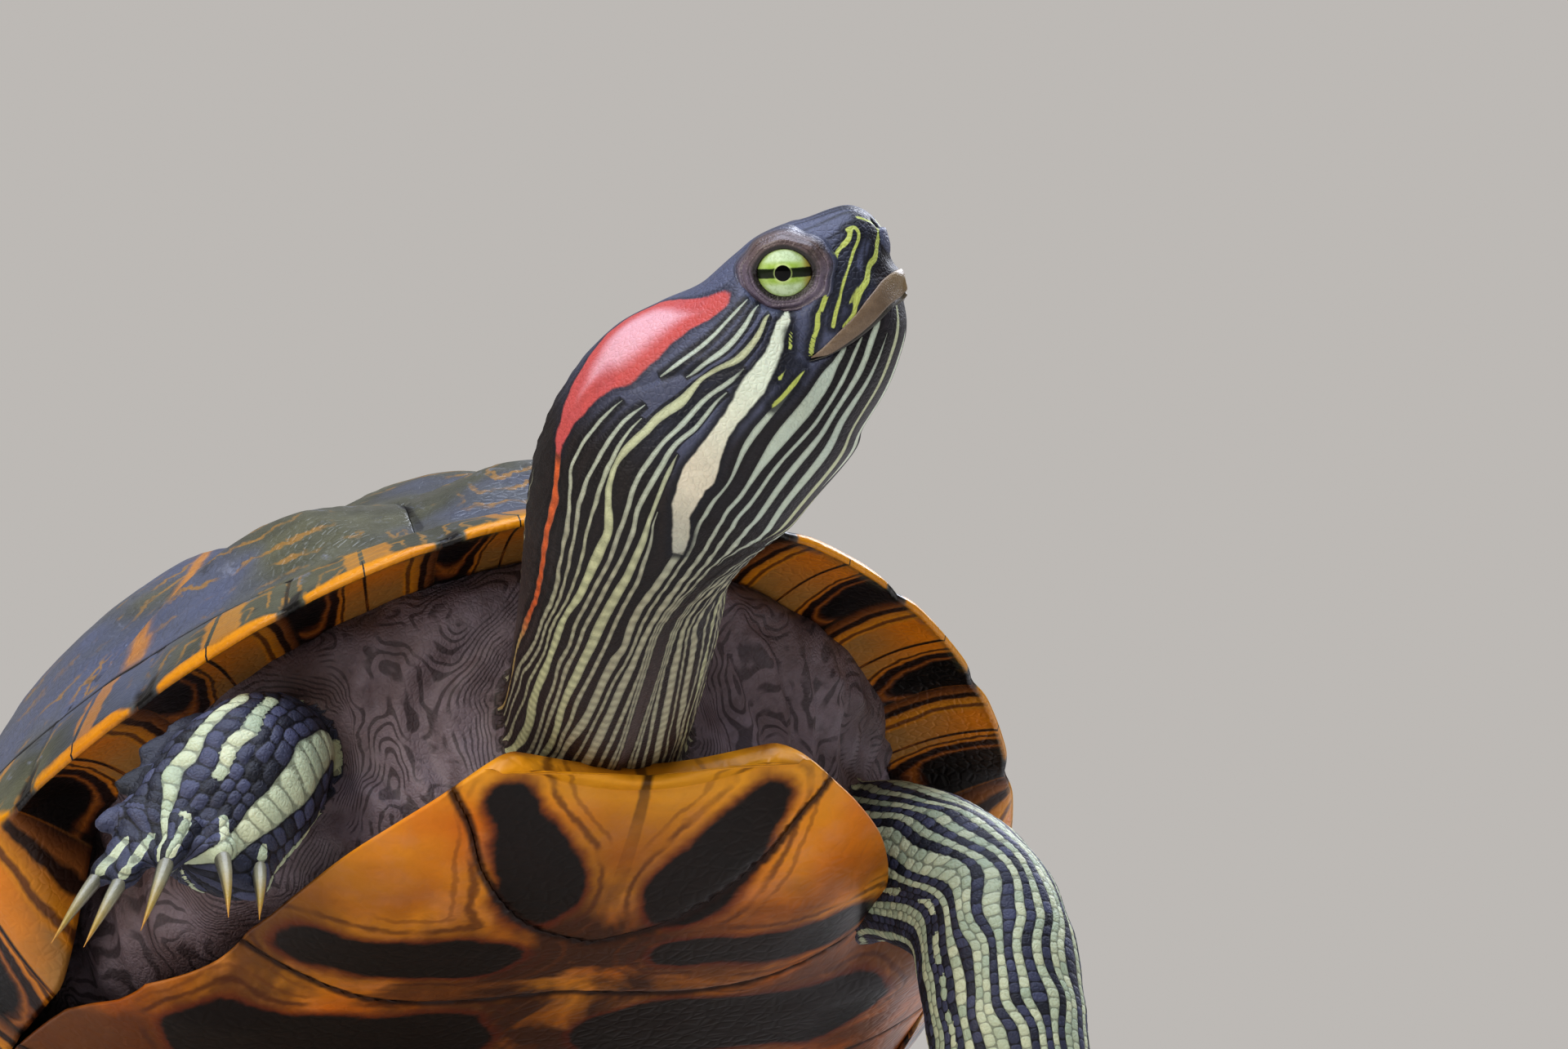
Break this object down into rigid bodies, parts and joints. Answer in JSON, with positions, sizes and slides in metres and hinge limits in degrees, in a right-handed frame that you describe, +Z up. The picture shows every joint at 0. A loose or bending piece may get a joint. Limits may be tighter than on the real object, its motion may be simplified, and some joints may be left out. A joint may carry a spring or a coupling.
{
  "type": "red-eared slider turtle",
  "caption": "Life-size red-eared slider turtle walking with raised front, long neck stretched up and head turned aside, domed scuted shell, clawed webbed feet and short tail.",
  "frame": {"origin": "centre line of the flat under the rear end of the plastron, on the floor", "axes": "+Z up, -Y towards the head end of the shell, +X towards the animal's left"},
  "size_m": [0.243, 0.2553, 0.1383],
  "materials": {
    "carapace": "smooth horny plates, wet sheen",
    "marginal": "horny plates, orange-yellow and black",
    "plastron": "smooth horny plates, orange-yellow with dark blotches",
    "skin": "fine scaly skin with pale stripes",
    "eye": "wet and glossy",
    "claw": "horn"
  },
  "bodies": {
    "root": {"vertebral_1": "carapace", "vertebral_2": "carapace", "vertebral_3": "carapace", "vertebral_4": "carapace", "vertebral_5": "carapace", "costal_left_1": "carapace", "costal_right_1": "carapace", "costal_left_2": "carapace", "costal_right_2": "carapace", "costal_left_3": "carapace", "costal_right_3": "carapace", "costal_left_4": "carapace", "costal_right_4": "carapace", "marginals_left": "marginal", "marginals_right": "marginal", "plastron_gular": "plastron", "plastron_humeral": "plastron", "plastron_pectoral": "plastron", "plastron_abdominal": "plastron", "plastron_femoral": "plastron", "plastron_anal": "plastron", "trunk": "skin", "head": "skin", "lower_jaw": "skin", "eye_left": "eye", "eye_right": "eye", "neck_upper": "skin", "neck_lower": "skin", "upper_arm_right": "skin", "forearm_right": "skin", "forefoot_right": "skin", "fore_claw_right_1": "claw", "fore_claw_right_2": "claw", "fore_claw_right_3": "claw", "fore_claw_right_4": "claw", "fore_claw_right_5": "claw", "upper_arm_left": "skin", "forearm_left": "skin", "forefoot_left": "skin", "fore_claw_left_1": "claw", "fore_claw_left_2": "claw", "fore_claw_left_3": "claw", "fore_claw_left_4": "claw", "fore_claw_left_5": "claw", "thigh_left": "skin", "shank_left": "skin", "hind_foot_left": "skin", "hind_claw_left_1": "claw", "hind_claw_left_2": "claw", "hind_claw_left_3": "claw", "hind_claw_left_4": "claw", "thigh_right": "skin", "shank_right": "skin", "hind_foot_right": "skin", "hind_claw_right_1": "claw", "hind_claw_right_2": "claw", "hind_claw_right_3": "claw", "hind_claw_right_4": "claw", "tail": "skin"}
  },
  "joints": []
}
